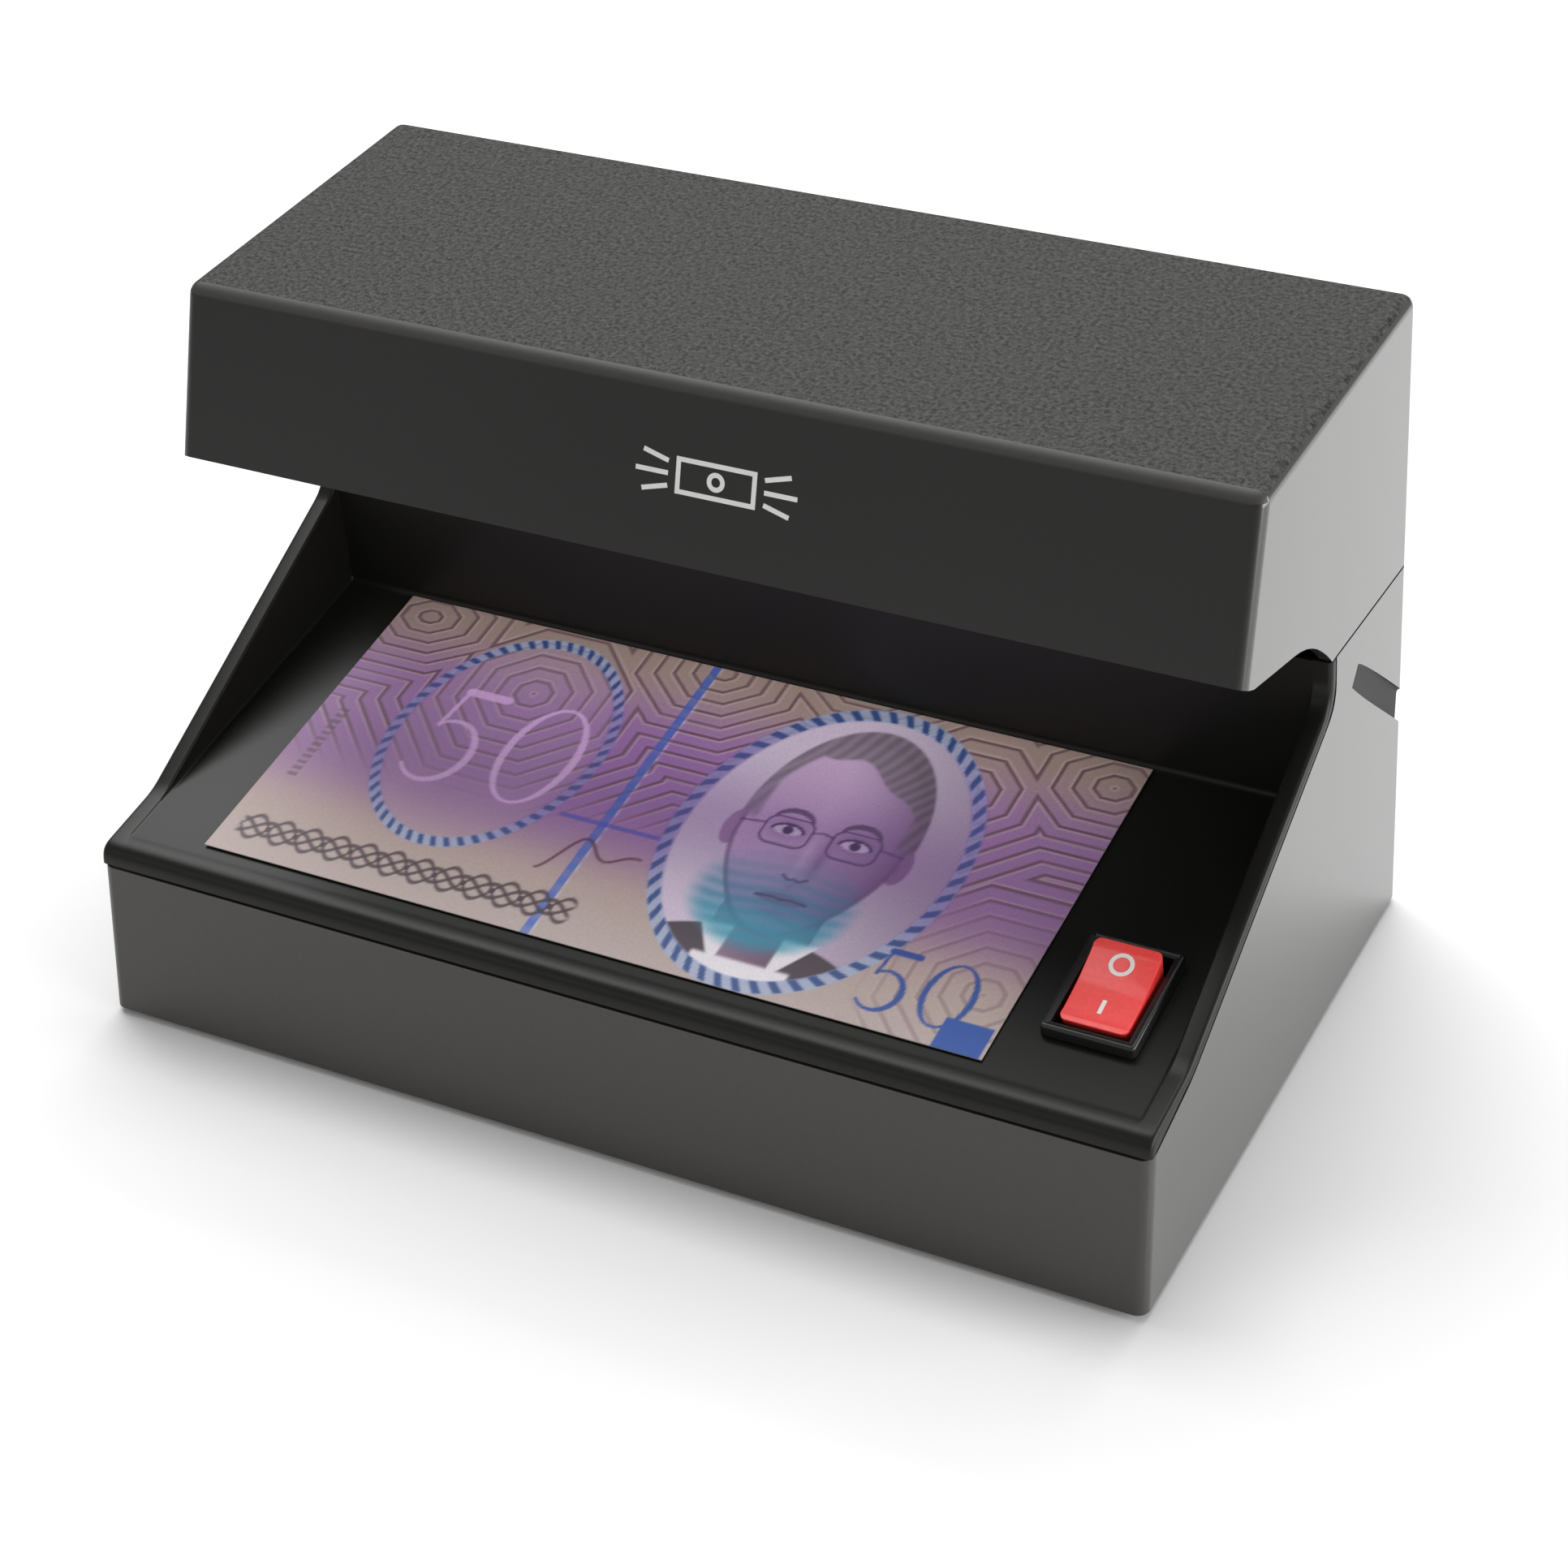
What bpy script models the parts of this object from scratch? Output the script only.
"""Counterfeit bill detector: an ultraviolet viewer with a hood, a sloped deck and a rocker switch.

The case is drawn in case coordinates, in millimetres: X from the middle, Y back from the front bottom
edge and Z up from the case's bottom edge. Every object hangs on the empty case_datum, which puts those
coordinates in the world: the origin is the centre of the bounding box's underside, where the feet stand.
"""

import math

import bmesh
import bpy
from mathutils import Matrix, Vector

MM = 0.001
OBJECT_NAME = "counterfeit_bill_detector"

# Driving dimensions of the case.
BASE_WIDTH = 185.0
CASE_HEIGHT = 110.5
SIDE_LEAN = 0.0178
WALL = 2.0
GAP = 0.3
FOOT_PROUD = 1.2
OVERALL_DEPTH = 119.0
EDGE_RADIUS = 2.0

# Heights below and above the tub, for the cut that hollows it.
BEYOND_CASE_Z = (-5.0, 90.0)

# Side profile: the slopes of the front, rear and parting line, and the main points.
FRONT_SLOPE = 4.5 / 30.2
REAR_SLOPE = 3.2 / 110.5
REAR_FOOT_Y = 109.5
LIP_TOP_Z = 30.2
DECK_SLOPE = 0.1241
WALL_START_Y = 19.0
THROAT_Y = 77.0
THROAT_SLANT_TOP = (74.9, 57.5)
THROAT_BEND_Z = 60.0
SEAM_FRONT_Z = 66.1
SEAM_REAR_Z = 63.8
SEAM_HALF_GAP = 0.2
FASCIA_BOTTOM = (41.1, 83.8)
FASCIA_TOP_Y = 49.8
HOOD_UNDERSIDE = [(44.7, 81.9), (54.2, 79.3), (64.2, 76.1), (72.8, 70.8), (75.9, 68.4)]

# Viewing deck.
LIP_BAND = 3.0
RIM_BAND = 1.5
SEAM_GROOVE = 0.5
RIM_WIDTH = 3.2
RIM_STEP = 0.25
DECK_FRONT_Y = 8.0
DECK_SHEET = 2.0

# Specimen card.
CARD_SIZE = (138.0, 66.0, 0.35)
CARD_CENTRE_X = -6.3
CARD_FRONT_Y = 10.6

# Rocker switch: a 15 by 21 snap-in type.
SWITCH_X = 76.0
SWITCH_Y = 28.5
SWITCH_BEZEL = (15.2, 20.6, 2.4)
SWITCH_CASE = (12.6, 18.6, 14.0)
SWITCH_WELL = (11.6, 17.2, 9.0)
SWITCH_CUTOUT = (13.2, 19.2)
ROCKER_SIZE = (10.8, 15.4)
ROCKER_TILT = math.radians(10.0)
ROCKER_PIVOT_Z = 1.2

# Lamp: 4 W T5 with G5 caps.
LAMP_Y = 61.5
LAMP_Z = 88.5
TUBE_RADIUS = 7.7
CAP_RADIUS = 8.0
CAP_FACE_X = 67.95
CAP_LENGTH = 6.0
PIN_END_X = 75.05
PIN_RADIUS = 1.15
PIN_PITCH = 5.0
ROTOR_RADIUS = 6.6
HOLDER_BORE = 7.0
HOLDER_X = (68.6, 78.6)
ROTOR_X = (69.0, 76.0)
ROTOR_WEB = 0.6
HOLDER_SLOT = 3.0

# Screws and posts: thread radius, pilot hole, head radius and clearances.
SCREW_RADIUS = 1.15
PILOT_RADIUS = 1.45
CLEARANCE_RADIUS = 1.7
HEAD_RADIUS = 2.9
HEAD_HEIGHT = 1.9
COUNTERBORE_RADIUS = 3.3
COVER_POST_RADIUS = 5.2
HOOD_SLEEVE_RADIUS = 5.0
HOOD_SLEEVE_TOP_Z = 63.0
HOOD_POST_RADIUS = 3.6
HOOD_POST_FOOT_Z = 65.0
COVER_SCREW_XY = (85.6, (8.4, 103.0))
HOOD_SCREW_XY = (70.0, 98.0)
FOOT_XY = (78.0, (18.0, 88.0))
FOOT_RADIUS = 5.5

# Vent slots in the bottom cover, under the ballast.
VENT_COUNT = 9
VENT_START_X = -39.5
VENT_PITCH = 8.0
VENT_Y = (68.0, 88.0)

# Cable gland in the rear wall.
GLAND_X = 60.0
GLAND_Z = 16.0
GLAND_BORE = 3.2
GLAND_HOLE_RADIUS = 6.4

# Lead channel on the right side, drawn from behind the throat to the rear edge.
CHANNEL_WIDTH = 4.8
CHANNEL_START_YZ = (87.0, 57.7)
CHANNEL_END_YZ = (114.0, 33.4)
CHANNEL_END_DEPTH = 1.3

# Ballast board.
BOARD_X = (-45.0, 30.0)
BOARD_Y = (58.0, 98.0)
BOARD_Z = 7.5
BOARD_THICKNESS = 1.6
BOARD_SCREWS = [(-41.0, 62.0), (26.0, 94.0)]

SIDE_VIEW = Matrix(((0, 0, 1, 0), (1, 0, 0, 0), (0, 1, 0, 0), (0, 0, 0, 1)))


# ---------------------------------------------------------------- scene and materials


def clear_scene():
    for old in list(bpy.data.objects):
        bpy.data.objects.remove(old)


def new_collection(name, hidden=False):
    made = bpy.data.collections.new(name)
    made.hide_render = hidden
    bpy.context.scene.collection.children.link(made)
    return made


def plain_material(name, colour, roughness, metallic=0.0):
    made = bpy.data.materials.new(name)
    made.use_nodes = True
    shader = made.node_tree.nodes["Principled BSDF"]
    shader.inputs["Base Color"].default_value = (*colour, 1.0)
    shader.inputs["Roughness"].default_value = roughness
    shader.inputs["Metallic"].default_value = metallic
    made.diffuse_color = (*colour, 1.0)
    return made


def make_materials():
    table = {
        "case_plastic": ((0.045, 0.044, 0.042), 0.38),
        "deck_plastic": ((0.012, 0.012, 0.012), 0.45),
        "inner_plastic": ((0.02, 0.02, 0.02), 0.5),
        "switch_plastic": ((0.01, 0.01, 0.01), 0.35),
        "rocker_red": ((0.78, 0.045, 0.04), 0.3),
        "lamp_glass": ((0.03, 0.01, 0.09), 0.08),
        "holder_white": ((0.75, 0.74, 0.7), 0.4),
        "board_laminate": ((0.25, 0.16, 0.06), 0.5),
        "capacitor_sleeve": ((0.02, 0.03, 0.07), 0.3),
        "film_red": ((0.35, 0.05, 0.02), 0.35),
        "ferrite": ((0.06, 0.06, 0.06), 0.6),
        "terminal_green": ((0.05, 0.28, 0.1), 0.45),
        "rubber_black": ((0.015, 0.015, 0.015), 0.8),
        "wire_white": ((0.7, 0.7, 0.68), 0.45),
        "wire_brown": ((0.15, 0.05, 0.02), 0.45),
        "printed_card": ((0.62, 0.5, 0.55), 0.55),
    }
    made = {name: plain_material(name, colour, roughness) for name, (colour, roughness) in table.items()}
    made["bright_aluminium"] = plain_material("bright_aluminium", (0.82, 0.83, 0.85), 0.2, 1.0)
    made["zinc_steel"] = plain_material("zinc_steel", (0.6, 0.6, 0.62), 0.3, 1.0)
    made["brass"] = plain_material("brass", (0.75, 0.58, 0.27), 0.3, 1.0)
    return made


# ---------------------------------------------------------------- mesh tools


def outline_solid(outline, half_width):
    """A solid with the closed outline of (y, z) points as its side view, reaching half_width each way."""
    curve = bpy.data.curves.new("outline", "CURVE")
    curve.dimensions = "2D"
    curve.fill_mode = "BOTH"
    curve.extrude = half_width * MM
    spline = curve.splines.new("POLY")
    spline.points.add(len(outline) - 1)
    for point, (y, z) in zip(spline.points, outline):
        point.co = (y * MM, z * MM, 0.0, 1.0)
    spline.use_cyclic_u = True
    holder = bpy.data.objects.new("outline", curve)
    mesh = bpy.data.meshes.new_from_object(holder)
    solid = bmesh.new()
    solid.from_mesh(mesh)
    bpy.data.objects.remove(holder)
    bpy.data.curves.remove(curve)
    bpy.data.meshes.remove(mesh)
    bmesh.ops.remove_doubles(solid, verts=solid.verts, dist=1e-6)
    bmesh.ops.transform(solid, matrix=SIDE_VIEW, verts=solid.verts)
    bmesh.ops.dissolve_limit(solid, angle_limit=math.radians(0.2), verts=solid.verts, edges=solid.edges)
    bmesh.ops.recalc_face_normals(solid, faces=solid.faces)
    return solid


def box_solid(low, high):
    solid = bmesh.new()
    bmesh.ops.create_cube(solid, size=1.0)
    size = [(b - a) * MM for a, b in zip(low, high)]
    centre = [(a + b) / 2 * MM for a, b in zip(low, high)]
    bmesh.ops.scale(solid, vec=size, verts=solid.verts)
    bmesh.ops.translate(solid, vec=centre, verts=solid.verts)
    return solid


def rod_solid(radius, start, end, sides=20):
    """A closed cylinder from start to end, both (x, y, z) in millimetres."""
    start, end = Vector(start) * MM, Vector(end) * MM
    solid = bmesh.new()
    length = (end - start).length
    bmesh.ops.create_cone(
        solid, cap_ends=True, segments=sides, radius1=radius * MM, radius2=radius * MM, depth=length
    )
    turn = (end - start).to_track_quat("Z", "Y").to_matrix().to_4x4()
    bmesh.ops.transform(solid, matrix=Matrix.Translation((start + end) / 2) @ turn, verts=solid.verts)
    return solid


def lean_sides(solid):
    """Narrows a solid towards the top, as the case's moulded sides lean in."""
    for vertex in solid.verts:
        vertex.co.x *= 1.0 - SIDE_LEAN * vertex.co.z / (BASE_WIDTH / 2 * MM)
    return solid


def round_edges(solid, radius, segments=2, wanted=lambda edge: True, least_angle=20.0):
    sharp = [
        edge
        for edge in solid.edges
        if len(edge.link_faces) == 2
        and edge.calc_face_angle(0.0) > math.radians(least_angle)
        and wanted(edge)
    ]
    bmesh.ops.bevel(
        solid,
        geom=sharp,
        offset=radius * MM,
        offset_type="OFFSET",
        segments=segments,
        profile=0.5,
        affect="EDGES",
        material=-1,
        clamp_overlap=True,
    )
    return solid


def offset_line(points, distance):
    """The open line of (y, z) points moved distance to the right of its direction, with mitred corners."""
    directions = [(Vector(b) - Vector(a)).normalized() for a, b in zip(points, points[1:])]
    directions = [directions[0], *directions, directions[-1]]
    moved = []
    for point, before, after in zip(points, directions, directions[1:]):
        right_before = Vector((before.y, -before.x))
        right_after = Vector((after.y, -after.x))
        mitre = (right_before + right_after).normalized()
        moved.append(tuple(Vector(point) + mitre * distance / mitre.dot(right_before)))
    return moved


class Workshop:
    """The collections, the datum and the materials that each piece is made with."""

    def __init__(self):
        self.parts = new_collection(OBJECT_NAME)
        self.cutters = new_collection("cutters", hidden=True)
        self.materials = make_materials()
        self.datum = bpy.data.objects.new("case_datum", None)
        self.datum.location = (0.0, -OVERALL_DEPTH / 2 * MM, FOOT_PROUD * MM)
        self.parts.objects.link(self.datum)

    def add(self, name, solid, material, parent=None):
        mesh = bpy.data.meshes.new(name)
        solid.to_mesh(mesh)
        solid.free()
        mesh.materials.append(self.materials[material])
        made = bpy.data.objects.new(name, mesh)
        made.parent = parent or self.datum
        self.parts.objects.link(made)
        mesh.shade_smooth()
        mesh.set_sharp_from_angle(angle=math.radians(30.0))
        return made

    def cut(self, target, solid, operation="DIFFERENCE"):
        """Cuts the solid from the target with a Boolean, or joins it with operation UNION."""
        number = len(target.modifiers) + 1
        mesh = bpy.data.meshes.new(f"{target.name}_tool_{number}")
        solid.to_mesh(mesh)
        solid.free()
        tool = bpy.data.objects.new(mesh.name, mesh)
        tool.parent = target.parent
        tool.matrix_local = target.matrix_local
        tool.hide_render = True
        tool.display_type = "WIRE"
        self.cutters.objects.link(tool)
        modifier = target.modifiers.new(mesh.name, "BOOLEAN")
        modifier.operation = operation
        modifier.solver = "EXACT"
        modifier.object = tool

    def join(self, target, solid):
        self.cut(target, solid, "UNION")

    def pivot(self, name, place, tilt=0.0):
        """An empty at place, (x, y, z) in case millimetres, tilted about X."""
        made = bpy.data.objects.new(name, None)
        made.parent = self.datum
        made.location = Vector(place) * MM
        made.rotation_euler = (tilt, 0.0, 0.0)
        self.parts.objects.link(made)
        return made


# ---------------------------------------------------------------- profile lines


def front_y(z):
    return FRONT_SLOPE * z


def rear_y(z):
    return REAR_FOOT_Y + REAR_SLOPE * z


def rim_z(y):
    """Height of the rim's flat part, which the deck's floor runs parallel to."""
    return LIP_TOP_Z + DECK_SLOPE * (y - front_y(LIP_TOP_Z))


def deck_z(y):
    return rim_z(y) - RIM_STEP


def rim_line():
    """Top of the deck's rim in side view, from the front lip to the top of the throat."""
    return [
        (front_y(LIP_TOP_Z), LIP_TOP_Z),
        (WALL_START_Y, rim_z(WALL_START_Y)),
        THROAT_SLANT_TOP,
        (THROAT_Y, THROAT_BEND_Z),
        (THROAT_Y, SEAM_FRONT_Z - SEAM_HALF_GAP),
    ]


def half_base(inset=0.0):
    return BASE_WIDTH / 2 - inset


def side_x(z):
    """Where the leaning side face stands at height z, from the middle."""
    return half_base() - SIDE_LEAN * z


# ---------------------------------------------------------------- case


def make_lower_housing(shop):
    tub_top = offset_line(rim_line(), RIM_BAND + SEAM_GROOVE)
    front_top_z = LIP_TOP_Z - LIP_BAND - SEAM_GROOVE
    outline = [
        (0.0, 0.0),
        (front_y(front_top_z), front_top_z),
        *tub_top[1:-1],
        (tub_top[-1][0], SEAM_FRONT_Z - SEAM_HALF_GAP),
        (rear_y(SEAM_REAR_Z), SEAM_REAR_Z - SEAM_HALF_GAP),
        (REAR_FOOT_Y, 0.0),
    ]
    solid = lean_sides(outline_solid(outline, half_base()))
    half_way_up_front = front_top_z / 2 * MM

    def is_outer_corner(edge):
        return min(vertex.co.z for vertex in edge.verts) < half_way_up_front

    round_edges(solid, EDGE_RADIUS, 3, is_outer_corner, least_angle=45.0)
    tub = shop.add("lower_housing", solid, "case_plastic")
    low, high = BEYOND_CASE_Z
    hollow = [
        (front_y(low) + WALL, low),
        (front_y(high) + WALL, high),
        (rear_y(high) - WALL, high),
        (rear_y(low) - WALL, low),
    ]
    shop.cut(tub, lean_sides(outline_solid(hollow, half_base(WALL))))
    add_cover_posts(shop, tub)
    add_hood_sleeves(shop, tub)
    inside = (GLAND_X, REAR_FOOT_Y - 8.0, GLAND_Z)
    outside = (GLAND_X, REAR_FOOT_Y + 8.0, GLAND_Z)
    gland_hole = rod_solid(GLAND_HOLE_RADIUS, inside, outside)
    shop.cut(tub, gland_hole)
    add_lead_channel(shop, tub)
    return tub


def add_cover_posts(shop, tub):
    """Corner posts that the bottom cover's screws go into."""
    x, ys = COVER_SCREW_XY
    for side in (-1, 1):
        for y in ys:
            post = rod_solid(COVER_POST_RADIUS, (side * x, y, 5.5), (side * x, y, 21.0), 24)
            shop.join(tub, post)
            pilot_hole = rod_solid(PILOT_RADIUS, (side * x, y, 5.0), (side * x, y, 16.0), 10)
            shop.cut(tub, pilot_hole)


def add_hood_sleeves(shop, tub):
    """Tall counterbored sleeves by the rear wall: the hood's screws sit deep inside them."""
    x, y = HOOD_SCREW_XY
    rib_back = REAR_FOOT_Y - 0.8
    for side in (-1, 1):
        top = (side * x, y, HOOD_SLEEVE_TOP_Z)
        shop.join(tub, rod_solid(HOOD_SLEEVE_RADIUS, (side * x, y, 2.6), top, 24))
        rib = box_solid((side * x - 1.0, y + 4.0, 3.4), (side * x + 1.0, rib_back, 58.0))
        shop.join(tub, rib)
        shop.cut(tub, rod_solid(COUNTERBORE_RADIUS, (side * x, y, 1.0), (side * x, y, 57.5), 16))
        shop.cut(tub, rod_solid(CLEARANCE_RADIUS, (side * x, y, 50.0), (side * x, y, 70.0), 10))


def add_lead_channel(shop, tub):
    """Shallow channel on the right side, from behind the throat down to the rear edge, where it is deepest."""
    start = Vector((side_x(CHANNEL_START_YZ[1]), *CHANNEL_START_YZ))
    end = Vector((side_x(CHANNEL_END_YZ[1]) - CHANNEL_END_DEPTH, *CHANNEL_END_YZ))
    run = end - start
    half_width = CHANNEL_WIDTH / 2
    channel = box_solid((0.0, -run.length / 2, -half_width), (8.0, run.length / 2, half_width))
    along = run.normalized()
    outward = (Vector((1.0, 0.0, 0.0)) - along * along.x).normalized()
    across = outward.cross(along)
    turn = Matrix((outward, along, across)).transposed().to_4x4()
    middle = (start + end) / 2 * MM
    bmesh.ops.transform(channel, matrix=Matrix.Translation(middle) @ turn, verts=channel.verts)
    shop.cut(tub, channel)


def make_upper_housing(shop):
    seam_front = (THROAT_Y, SEAM_FRONT_Z + SEAM_HALF_GAP)
    seam_rear = (rear_y(SEAM_REAR_Z), SEAM_REAR_Z + SEAM_HALF_GAP)
    outline = [
        FASCIA_BOTTOM,
        (FASCIA_TOP_Y, CASE_HEIGHT),
        (rear_y(CASE_HEIGHT), CASE_HEIGHT),
        seam_rear,
        (THROAT_Y + 2.0, SEAM_FRONT_Z + SEAM_HALF_GAP),
        seam_front,
        *reversed(HOOD_UNDERSIDE),
    ]
    solid = lean_sides(outline_solid(outline, half_base()))
    just_below_fascia = (FASCIA_BOTTOM[1] - 1.0) * MM

    def is_above_seam(edge):
        return max(vertex.co.z for vertex in edge.verts) > just_below_fascia

    round_edges(solid, EDGE_RADIUS, 3, is_above_seam, least_angle=40.0)
    hood = shop.add("upper_housing", solid, "case_plastic")
    lean = (FASCIA_TOP_Y - FASCIA_BOTTOM[0]) / (CASE_HEIGHT - FASCIA_BOTTOM[1])
    low, high = 60.0, CASE_HEIGHT - WALL
    inner_front = FASCIA_BOTTOM[0] + WALL * math.hypot(1.0, lean)
    hollow = [
        (inner_front + lean * (low - FASCIA_BOTTOM[1]), low),
        (inner_front + lean * (high - FASCIA_BOTTOM[1]), high),
        (rear_y(high) - WALL, high),
        (rear_y(low) - WALL, low),
    ]
    shop.cut(hood, lean_sides(outline_solid(hollow, half_base(WALL))))
    x, y = HOOD_SCREW_XY
    for side in (-1, 1):
        foot = (side * x, y, HOOD_POST_FOOT_Z)
        shop.join(hood, rod_solid(HOOD_POST_RADIUS, foot, (side * x, y, high + 1.0), 20))
        shop.cut(hood, rod_solid(PILOT_RADIUS, (side * x, y, 60.0), (side * x, y, 76.0), 10))
    return hood


def make_viewing_deck(shop):
    rim = rim_line()
    band = offset_line(rim, RIM_BAND)
    band_front_z = LIP_TOP_Z - LIP_BAND
    outline = [*rim, *reversed(band[1:]), (front_y(band_front_z), band_front_z)]
    solid = lean_sides(outline_solid(outline, half_base()))
    round_edges(solid, 0.5, 2, lambda edge: edge.calc_length() > 5.0 * MM, least_angle=60.0)
    deck = shop.add("viewing_deck", solid, "deck_plastic")
    buried = offset_line(rim, 0.5)
    tongue_y = front_y(LIP_TOP_Z) + WALL + 0.3
    back = THROAT_Y + DECK_SHEET
    basin = [
        (tongue_y, 24.6),
        (tongue_y, rim_z(tongue_y) - 0.5),
        *buried[1:-1],
        (buried[-1][0], SEAM_FRONT_Z - 0.7),
        (back, SEAM_FRONT_Z - 0.7),
        (back, deck_z(back) - DECK_SHEET),
        (tongue_y + 1.8, deck_z(tongue_y + 1.8) - DECK_SHEET),
        (tongue_y + 1.8, 24.6),
    ]
    shop.join(deck, lean_sides(outline_solid(basin, half_base(WALL + GAP))))
    pocket = [
        (DECK_FRONT_Y, deck_z(DECK_FRONT_Y)),
        (THROAT_Y, deck_z(THROAT_Y)),
        (THROAT_Y, 95.0),
        (DECK_FRONT_Y, 95.0),
    ]
    shop.cut(deck, lean_sides(outline_solid(pocket, half_base(RIM_WIDTH))))
    width, length = SWITCH_CUTOUT
    hole = box_solid((-width / 2, -length / 2, -10.0), (width / 2, length / 2, 10.0))
    place = Matrix.Translation(Vector((SWITCH_X, SWITCH_Y, deck_z(SWITCH_Y))) * MM)
    bmesh.ops.transform(hole, matrix=place @ Matrix.Rotation(deck_angle(), 4, "X"), verts=hole.verts)
    shop.cut(deck, hole)
    return deck


def deck_angle():
    return math.atan(DECK_SLOPE)


def make_bottom_cover(shop):
    half = half_base(WALL + GAP)
    front, back = front_y(2.0) + WALL + GAP, REAR_FOOT_Y - WALL - GAP
    cover = shop.add("bottom_cover", box_solid((-half, front, 0.2), (half, back, 2.2)), "inner_plastic")
    screw_x, screw_ys = COVER_SCREW_XY
    foot_x, foot_ys = FOOT_XY
    hood_x, hood_y = HOOD_SCREW_XY
    for side in (-1, 1):
        for y in screw_ys:
            x = side * screw_x
            shop.join(cover, rod_solid(4.3, (x, y, 1.0), (x, y, 5.2), 20))
            shop.cut(cover, rod_solid(COUNTERBORE_RADIUS, (x, y, -1.0), (x, y, 3.6), 16))
            shop.cut(cover, rod_solid(CLEARANCE_RADIUS, (x, y, -1.0), (x, y, 8.0), 10))
        for y in foot_ys:
            x = side * foot_x
            shop.cut(cover, rod_solid(FOOT_RADIUS + GAP, (x, y, -1.0), (x, y, 1.3), 24))
        shop.cut(cover, rod_solid(3.7, (side * hood_x, hood_y, -1.0), (side * hood_x, hood_y, 4.0), 16))
    for x, y in BOARD_SCREWS:
        shop.join(cover, rod_solid(2.8, (x, y, 1.0), (x, y, BOARD_Z - GAP), 16))
        shop.cut(cover, rod_solid(1.2, (x, y, 3.0), (x, y, 12.0), 8))
    for column in range(VENT_COUNT):
        x = VENT_START_X + VENT_PITCH * column
        shop.cut(cover, box_solid((x - 1.0, VENT_Y[0], -1.0), (x + 1.0, VENT_Y[1], 4.0)))
    return cover


def make_feet(shop):
    x, ys = FOOT_XY
    for side, hand in ((-1, "left"), (1, "right")):
        for y, end in zip(ys, ("front", "rear")):
            solid = rod_solid(FOOT_RADIUS, (side * x, y, -FOOT_PROUD), (side * x, y, 1.0), 24)
            shop.add(f"foot_{end}_{hand}", solid, "rubber_black")


# ---------------------------------------------------------------- screws


def turned(shop, name, profile, material, place, steps=16, turn=(0.0, 0.0, 0.0), closed=False, parent=None):
    """A turned piece: the (radius, height) profile runs down its outer side, and spins about local Z."""
    mesh = bpy.data.meshes.new(name)
    count = len(profile)
    edges = [(i, i + 1) for i in range(count - 1)] + ([(count - 1, 0)] if closed else [])
    mesh.from_pydata([(radius * MM, 0.0, height * MM) for radius, height in profile], edges, [])
    mesh.materials.append(shop.materials[material])
    made = bpy.data.objects.new(name, mesh)
    made.parent = parent or shop.datum
    made.location = Vector(place) * MM
    made.rotation_euler = turn
    shop.parts.objects.link(made)
    spin = made.modifiers.new("spin", "SCREW")
    spin.axis = "Z"
    spin.angle = math.tau
    spin.steps = steps
    spin.render_steps = steps
    spin.use_merge_vertices = True
    spin.merge_threshold = 0.00001
    spin.use_smooth_shade = True
    return made


def screw_profile(length):
    """Pan head below, thread above: height 0 is under the head."""
    return [
        (0.0, length),
        (SCREW_RADIUS * 0.4, length),
        (SCREW_RADIUS, length - 1.2),
        (SCREW_RADIUS, 0.0),
        (HEAD_RADIUS, 0.0),
        (HEAD_RADIUS, -HEAD_HEIGHT * 0.55),
        (HEAD_RADIUS * 0.75, -HEAD_HEIGHT),
        (0.0, -HEAD_HEIGHT),
    ]


def make_screws(shop):
    x, ys = COVER_SCREW_XY
    for side, hand in ((-1, "left"), (1, "right")):
        for y, end in zip(ys, ("front", "rear")):
            turned(shop, f"cover_screw_{end}_{hand}", screw_profile(10.5), "zinc_steel", (side * x, y, 3.3))
        hood_x, hood_y = HOOD_SCREW_XY
        turned(shop, f"hood_screw_{hand}", screw_profile(16.0), "zinc_steel", (side * hood_x, hood_y, 57.2))
    top = BOARD_Z + BOARD_THICKNESS + GAP
    small = [(0.0, -5.0), (0.9, -5.0), (0.9, 0.0), (2.3, 0.0), (2.3, 0.9), (1.5, 1.6), (0.0, 1.6)]
    for (screw_x, screw_y), hand in zip(BOARD_SCREWS, ("left", "right")):
        turned(shop, f"board_screw_{hand}", small[::-1], "zinc_steel", (screw_x, screw_y, top), 12)


# ---------------------------------------------------------------- hood underside and lamp


def make_lamp_tray(shop):
    lower = [(44.2, 83.6), (54.6, 80.6), (64.8, 77.4), (73.5, 71.9), (76.8, 69.3), (78.4, 66.6), (82.0, 66.6)]
    upper = offset_line(lower, -1.6)
    solid = lean_sides(outline_solid([*lower, *reversed(upper)], half_base(WALL + 0.5)))
    tray = shop.add("lamp_tray", solid, "inner_plastic")
    shop.cut(tray, box_solid((-79.4, 52.4, 60.0), (79.4, 70.6, 95.0)))
    return tray


def make_reflector(shop):
    """Bent sheet channel over the lamp, with a flange on the tray at the front and at the back."""
    line = [(46.8, 85.4), (50.2, 84.4), (55.2, 98.9), (68.7, 98.9), (74.4, 74.3), (77.0, 72.3)]
    sheet = [*offset_line(line, 0.4), *reversed(offset_line(line, -0.4))]
    shop.add("reflector", outline_solid(sheet, 67.5), "bright_aluminium")


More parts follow.
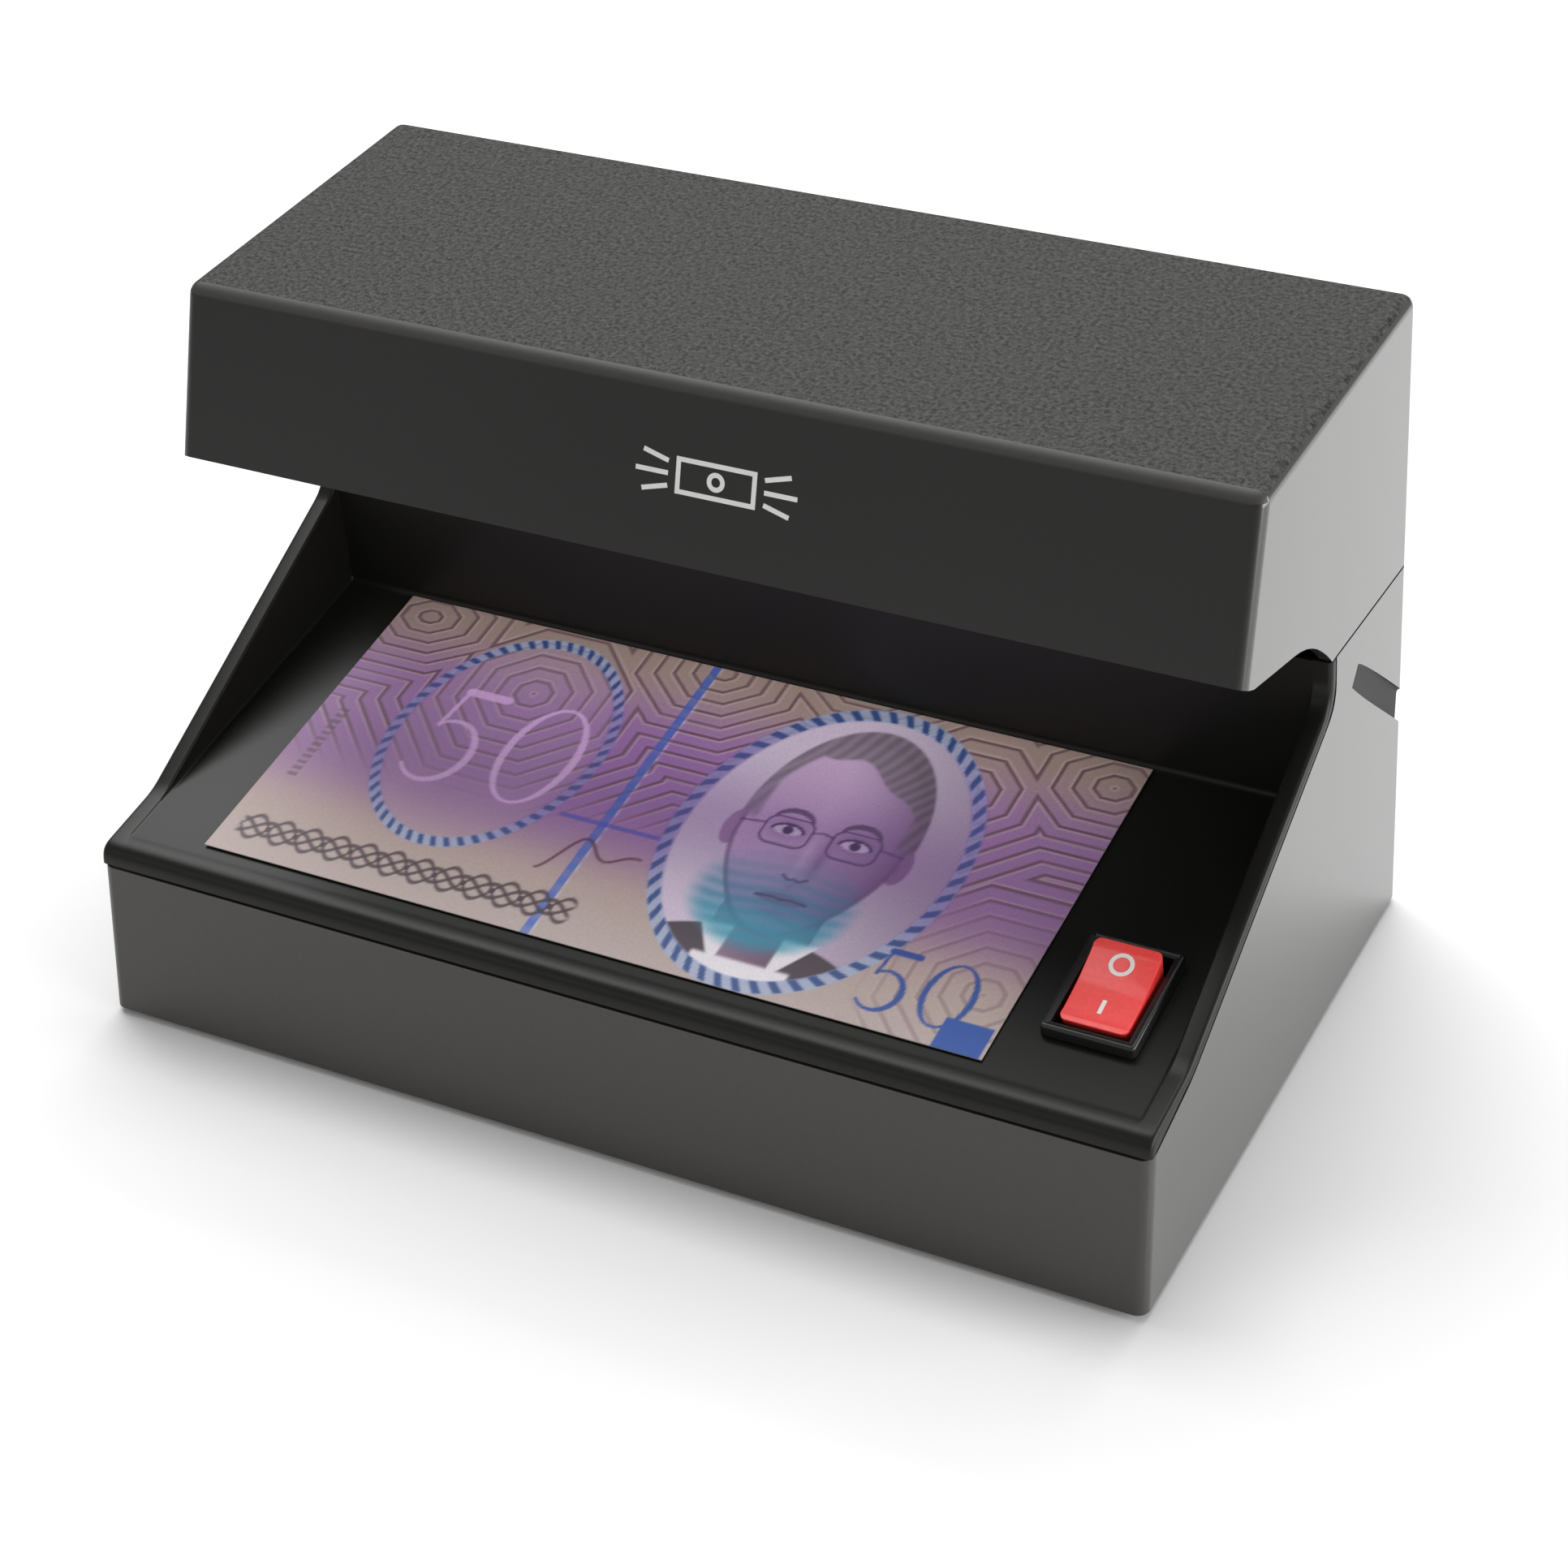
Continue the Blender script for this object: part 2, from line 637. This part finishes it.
def make_lamp(shop):
    """The lamp turns a quarter turn in its holders, with the holders' rotors."""
    axis = shop.pivot("lamp_axis", (0.0, LAMP_Y, LAMP_Z))
    inner_end = CAP_FACE_X - CAP_LENGTH - GAP
    sideways = (0.0, math.pi / 2, 0.0)
    dome = 1.2
    tube = [
        (0.0, inner_end),
        (TUBE_RADIUS - dome, inner_end),
        (TUBE_RADIUS, inner_end - dome),
        (TUBE_RADIUS, dome - inner_end),
        (TUBE_RADIUS - dome, -inner_end),
        (0.0, -inner_end),
    ]
    turned(shop, "uv_lamp_tube", tube, "lamp_glass", (0, 0, 0), 32, sideways, parent=axis)
    for side, hand in ((-1, "left"), (1, "right")):
        cap_inner_x = side * (CAP_FACE_X - CAP_LENGTH)
        cap_solid = rod_solid(CAP_RADIUS, (cap_inner_x, 0, 0), (side * CAP_FACE_X, 0, 0), 32)
        cap = shop.add(f"lamp_cap_{hand}", cap_solid, "bright_aluminium", axis)
        for y in (-PIN_PITCH / 2, PIN_PITCH / 2):
            pin = rod_solid(PIN_RADIUS, (side * (CAP_FACE_X - 1.5), y, 0), (side * PIN_END_X, y, 0), 10)
            shop.join(cap, pin)
        low, high = sorted((side * ROTOR_X[0], side * ROTOR_X[1]))
        rotor_solid = rod_solid(ROTOR_RADIUS, (low, 0, 0), (high, 0, 0), 28)
        rotor = shop.add(f"lampholder_rotor_{hand}", rotor_solid, "holder_white", axis)
        slot_low, slot_high = sorted((side * (ROTOR_X[0] - 1.0), side * (ROTOR_X[1] - ROTOR_WEB)))
        slot = box_solid((slot_low, -9.0, -HOLDER_SLOT / 2), (slot_high, 9.0, HOLDER_SLOT / 2))
        shop.cut(rotor, slot)
    return axis


def make_lampholders(shop):
    low_z, high_z = LAMP_Z - 8.6, LAMP_Z + 9.5
    for side, hand in ((-1, "left"), (1, "right")):
        low_x, high_x = sorted((side * HOLDER_X[0], side * HOLDER_X[1]))
        solid = box_solid((low_x, LAMP_Y - 8.5, low_z), (high_x, LAMP_Y + 8.5, high_z))
        round_edges(solid, 1.0, 2, lambda edge: edge.calc_length() < 11.0 * MM)
        holder = shop.add(f"lampholder_{hand}", solid, "holder_white")
        bore_end = side * (HOLDER_X[1] - 2.2)
        bore_start = side * (HOLDER_X[0] - 2.0)
        shop.cut(holder, rod_solid(HOLDER_BORE, (bore_start, LAMP_Y, LAMP_Z), (bore_end, LAMP_Y, LAMP_Z), 32))
        slot_low, slot_high = sorted((bore_start, bore_end))
        slot = box_solid(
            (slot_low, LAMP_Y - HOLDER_SLOT / 2, low_z - 2.0), (slot_high, LAMP_Y + HOLDER_SLOT / 2, LAMP_Z)
        )
        shop.cut(holder, slot)


# ---------------------------------------------------------------- switch


def make_switch(shop):
    seat = shop.pivot("switch_seat", (SWITCH_X, SWITCH_Y, deck_z(SWITCH_Y)), deck_angle())
    width, length, proud = SWITCH_BEZEL
    solid = box_solid((-width / 2, -length / 2, GAP), (width / 2, length / 2, proud))
    top_only = (proud - 0.1) * MM

    def is_top(edge):
        return max(vertex.co.z for vertex in edge.verts) > top_only

    round_edges(solid, 0.6, 2, is_top)
    body = shop.add("switch_body", solid, "switch_plastic", seat)
    width, length, depth = SWITCH_CASE
    shop.join(body, box_solid((-width / 2, -length / 2, -depth), (width / 2, length / 2, 1.0)))
    width, length, depth = SWITCH_WELL
    shop.cut(body, box_solid((-width / 2, -length / 2, proud - depth), (width / 2, length / 2, proud + 3.0)))
    make_rocker(shop, seat)
    for y, name in ((4.5, "line"), (-4.5, "load")):
        depth = SWITCH_CASE[2] + GAP
        blade = box_solid((-2.4, y - 0.4, -depth - 7.0), (2.4, y + 0.4, -depth))
        shop.add(f"switch_terminal_{name}", blade, "brass", seat)


def make_rocker(shop, seat):
    """The rocker's face is a shallow valley; below it the sides run down and in to the pivot."""
    pivot = bpy.data.objects.new("rocker_pivot", None)
    pivot.parent = seat
    pivot.location = (0.0, 0.0, ROCKER_PIVOT_Z * MM)
    pivot.rotation_euler = (ROCKER_TILT, 0.0, 0.0)
    shop.parts.objects.link(pivot)
    width, length = ROCKER_SIZE
    end_z, middle_z, foot_z = 2.4, 1.9, -4.6
    outline = [
        (-length / 2, end_z - 0.5),
        (-length / 2 + 0.5, end_z),
        (0.0, middle_z),
        (length / 2 - 0.5, end_z),
        (length / 2, end_z - 0.5),
        (length / 2 - 0.6, -1.0),
        (4.2, foot_z),
        (-4.2, foot_z),
        (-length / 2 + 0.6, -1.0),
    ]
    solid = outline_solid(outline, width / 2)
    round_edges(solid, 0.35, 2, lambda edge: max(v.co.z for v in edge.verts) > 1.5 * MM, least_angle=30.0)
    shop.add("switch_rocker", solid, "rocker_red", pivot)


# ---------------------------------------------------------------- rear gland


def make_gland(shop):
    sideways = (-math.pi / 2, 0.0, 0.0)
    nose = OVERALL_DEPTH - REAR_FOOT_Y
    profile = [
        (4.4, nose),
        (5.4, 3.6),
        (9.0, 3.2),
        (9.0, 1.1),
        (6.0, 1.1),
        (6.0, -6.5),
        (GLAND_BORE, -6.5),
        (GLAND_BORE, nose),
    ]
    turned(shop, "cable_gland", profile, "rubber_black", (GLAND_X, REAR_FOOT_Y, GLAND_Z), 24, sideways, True)
    nut = rod_solid(8.6, (GLAND_X, 103.6, GLAND_Z), (GLAND_X, 107.2, GLAND_Z), 6)
    ring = shop.add("gland_nut", nut, "inner_plastic")
    shop.cut(ring, rod_solid(GLAND_HOLE_RADIUS, (GLAND_X, 101.0, GLAND_Z), (GLAND_X, 110.0, GLAND_Z), 20))


# ---------------------------------------------------------------- ballast


def make_ballast(shop):
    top = BOARD_Z + BOARD_THICKNESS
    board_solid = box_solid((BOARD_X[0], BOARD_Y[0], BOARD_Z), (BOARD_X[1], BOARD_Y[1], top))
    board = shop.add("ballast_board", board_solid, "board_laminate")
    for x, y in BOARD_SCREWS:
        shop.cut(board, rod_solid(1.5, (x, y, BOARD_Z - 2.0), (x, y, top + 2.0), 12))
    seat = top + GAP
    blocks = {
        "ballast_choke": ((-18.0, 70.0), (16.0, 13.0, 14.0), "ferrite"),
        "film_capacitor": ((8.0, 68.0), (13.0, 6.0, 11.0), "film_red"),
        "ballast_transistor_left": ((-32.0, 84.0), (8.0, 3.2, 11.0), "inner_plastic"),
        "ballast_transistor_right": ((-18.0, 84.0), (8.0, 3.2, 11.0), "inner_plastic"),
        "mains_terminal_block": ((50.0, 88.0), (16.0, 10.0, 10.0), "terminal_green"),
    }
    for name, ((x, y), (width, length, height), material) in blocks.items():
        base = 2.2 + GAP if name == "mains_terminal_block" else seat
        low = (x - width / 2, y - length / 2, base)
        high = (x + width / 2, y + length / 2, base + height)
        shop.add(name, round_edges(box_solid(low, high), 0.5, 1), material)
    can = [(0.0, 16.0), (4.4, 16.0), (5.0, 15.4), (5.0, 1.8), (4.6, 1.3), (5.0, 0.8), (5.0, 0.0), (0.0, 0.0)]
    turned(shop, "ballast_capacitor", can, "capacitor_sleeve", (2.0, 84.0, seat), 20)
    fuse = rod_solid(2.6, (16.0, 76.0, seat + 2.8), (16.0, 90.0, seat + 2.8), 16)
    shop.add("ballast_fuse", fuse, "lamp_glass")


# ---------------------------------------------------------------- wires held inside


def smooth_route(points, steps=5):
    """Points on the Catmull-Rom curve through the given ones."""
    ends = [points[0], *points, points[-1]]
    route = []
    for a, b, c, d in zip(ends, ends[1:], ends[2:], ends[3:]):
        a, b, c, d = map(Vector, (a, b, c, d))
        for step in range(steps):
            t = step / steps
            square = (2 * a - 5 * b + 4 * c - d) * t**2
            cube = (3 * b - a - 3 * c + d) * t**3
            route.append(0.5 * (2 * b + (c - a) * t + square + cube))
    return [*route, Vector(points[-1])]


def make_wire(shop, name, points, radius, material):
    curve = bpy.data.curves.new(name, "CURVE")
    curve.dimensions = "3D"
    curve.bevel_depth = radius * MM
    curve.bevel_resolution = 2
    curve.use_fill_caps = True
    route = smooth_route(points)
    spline = curve.splines.new("POLY")
    spline.points.add(len(route) - 1)
    for point, place in zip(spline.points, route):
        point.co = (*(place * MM), 1.0)
    curve.materials.append(shop.materials[material])
    made = bpy.data.objects.new(name, curve)
    made.parent = shop.datum
    shop.parts.objects.link(made)


def make_wires(shop):
    line = [(54, 82.6, 7), (56, 76, 6.5), (66, 56, 5.5), (74, 42, 6), (75.5, 36, 8), (76, 34.2, 9.6)]
    load = [(76, 25.3, 8.4), (75, 25, 6.4), (66, 30, 5), (50, 46, 5.5), (39, 62, 8), (35, 70, 12)]
    load.append((31, 72, 11))
    make_wire(shop, "switch_wire_line", line, 1.0, "wire_brown")
    make_wire(shop, "switch_wire_load", load, 1.0, "wire_brown")
    for side, hand, start_x in ((-1, "left", -34), (1, "right", 18)):
        twin = [
            (start_x, 95, 11.2),
            (start_x + side * 3, 97, 16),
            (side * 50, 101, 34),
            (side * 60, 102, 52),
            (side * 58, 94, 72),
            (side * 70, 84, 90),
            (side * 81, 74, 96),
            (side * 83, 66, 94),
            (side * 80.4, 62, 90),
        ]
        make_wire(shop, f"lamp_wire_{hand}", twin, 1.3, "wire_white")


# ---------------------------------------------------------------- card


def make_card(shop):
    """Printed specimen card, lying loose on the deck with its long side across."""
    width, length, thickness = CARD_SIZE
    seat = shop.pivot("card_seat", (CARD_CENTRE_X, CARD_FRONT_Y, deck_z(CARD_FRONT_Y)), deck_angle())
    solid = box_solid((-width / 2, 0.0, GAP), (width / 2, length, GAP + thickness))
    shop.add("specimen_card", solid, "printed_card", seat)


def main():
    clear_scene()
    shop = Workshop()
    make_lower_housing(shop)
    make_upper_housing(shop)
    make_viewing_deck(shop)
    make_bottom_cover(shop)
    make_feet(shop)
    make_screws(shop)
    make_lamp_tray(shop)
    make_reflector(shop)
    make_lamp(shop)
    make_lampholders(shop)
    make_switch(shop)
    make_gland(shop)
    make_ballast(shop)
    make_wires(shop)
    make_card(shop)


main()
